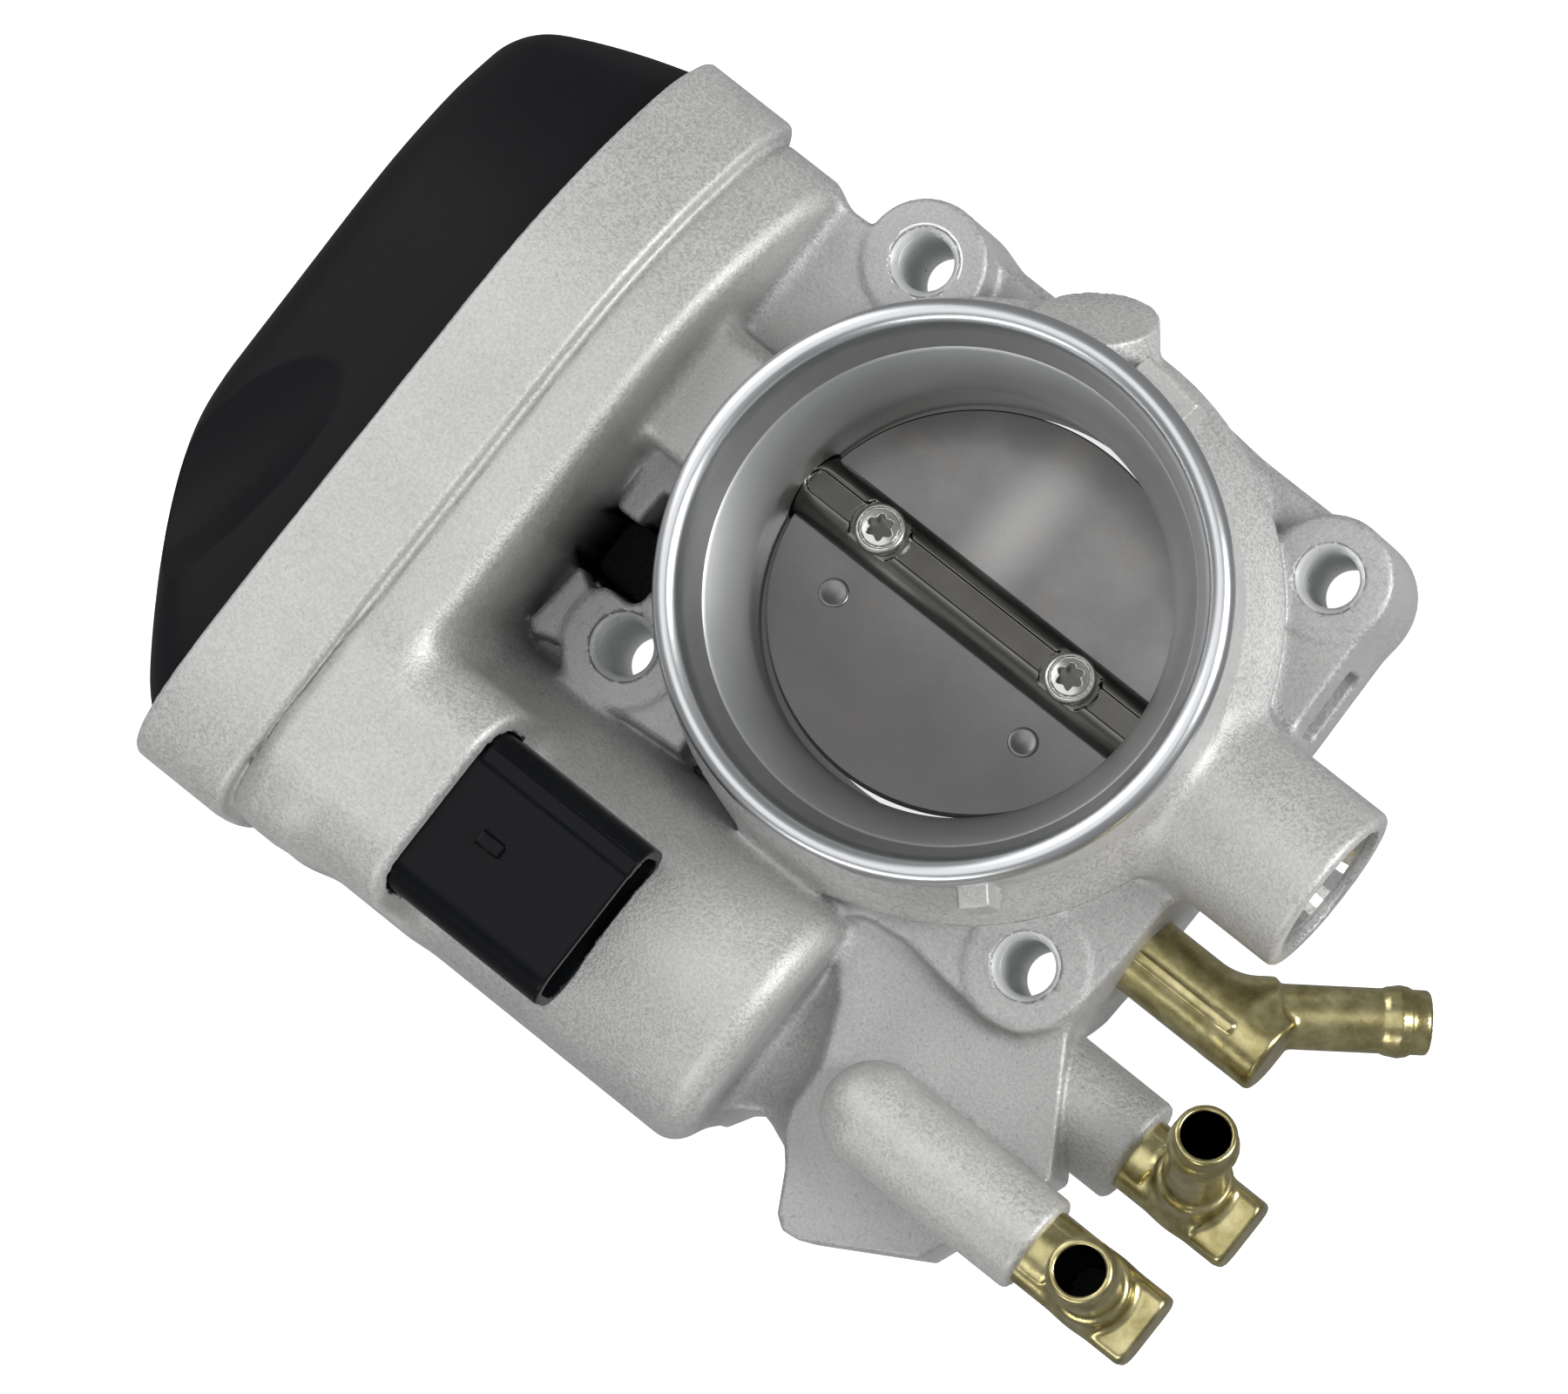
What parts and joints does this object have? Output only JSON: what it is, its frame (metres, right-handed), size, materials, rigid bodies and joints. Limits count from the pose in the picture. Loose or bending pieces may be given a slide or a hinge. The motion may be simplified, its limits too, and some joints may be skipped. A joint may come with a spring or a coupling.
{
  "type": "throttle body",
  "caption": "Electronic throttle body: cast housing with gear train and motor under a plastic cover, sprung throttle plate, harness connector and brass hose fittings",
  "frame": {"origin": "the bore axis on the face that meets the intake manifold", "axes": "+Z along the bore, out of the inlet; +X along the throttle shaft, away from the gear cover; +Y away from the motor"},
  "size_m": [0.1806, 0.1307, 0.056],
  "materials": {
    "cast_aluminium": "bead-blasted die casting with machined inlet rim",
    "black_plastic": "fine matte glass-filled nylon",
    "gloss_plastic": "semi-gloss moulded plastic",
    "dark_steel": "satin, slightly darkened steel",
    "bright_steel": "bright zinc-plated or ground steel",
    "brass": "dull yellow passivated brass with tarnish",
    "rubber": "matte",
    "nylon": "natural moulded gear plastic",
    "magnet": "sintered ferrite",
    "board": "printed sensor board"
  },
  "bodies": {
    "housing": {"throttle_housing": "cast_aluminium", "drive_side_bearing": "bright_steel", "shaft_seal": "rubber", "idle_side_bearing": "bright_steel", "shaft_end_plug": "bright_steel", "idler_pin": "bright_steel", "return_spring": "bright_steel", "spring_bush": "nylon", "motor_can": "bright_steel", "motor_magnet_1": "magnet", "motor_magnet_2": "magnet", "motor_end_plate": "bright_steel", "motor_screw_1": "bright_steel", "motor_screw_2": "bright_steel", "gear_cover": "black_plastic", "cover_seal": "rubber", "cover_clip": "black_plastic", "position_sensor_board": "board", "connector_socket": "gloss_plastic", "connector_pin_1": "bright_steel", "connector_pin_2": "bright_steel", "connector_pin_3": "bright_steel", "connector_pin_4": "bright_steel", "connector_pin_5": "bright_steel", "connector_pin_6": "bright_steel", "hose_fitting_1": "brass", "hose_fitting_2": "brass", "hose_fitting_3": "brass", "flange_seal": "rubber"},
    "throttle": {"throttle_shaft": "dark_steel", "throttle_plate": "dark_steel", "plate_screw_1": "bright_steel", "plate_screw_2": "bright_steel", "sector_gear": "nylon", "sensor_wiper": "brass"},
    "idler": {"idler_gear": "nylon"},
    "rotor": {"motor_armature": "dark_steel", "motor_pinion": "brass"}
  },
  "joints": [
    {"name": "throttle_turn", "type": "hinge", "parent": "housing", "child": "throttle", "pos_m": [0, 0, 0.026], "axis": [-1, 0, 0], "range_deg": [-7, 78], "stiffness_Nm_per_rad": 0.12},
    {"name": "idler_turn", "type": "hinge", "parent": "housing", "child": "idler", "pos_m": [-0.065, -0.03198, 0.027], "axis": [-1, 0, 0], "range_deg": [-150, 15]},
    {"name": "rotor_turn", "type": "hinge", "parent": "housing", "child": "rotor", "pos_m": [-0.03, -0.06116, 0.02], "axis": [-1, 0, 0], "range_deg": [-38, 411]}
  ],
  "couplings": [
    {"joint": "idler_turn", "follows": "throttle_turn", "ratio": -1.9091},
    {"joint": "rotor_turn", "follows": "throttle_turn", "ratio": 5.25}
  ]
}
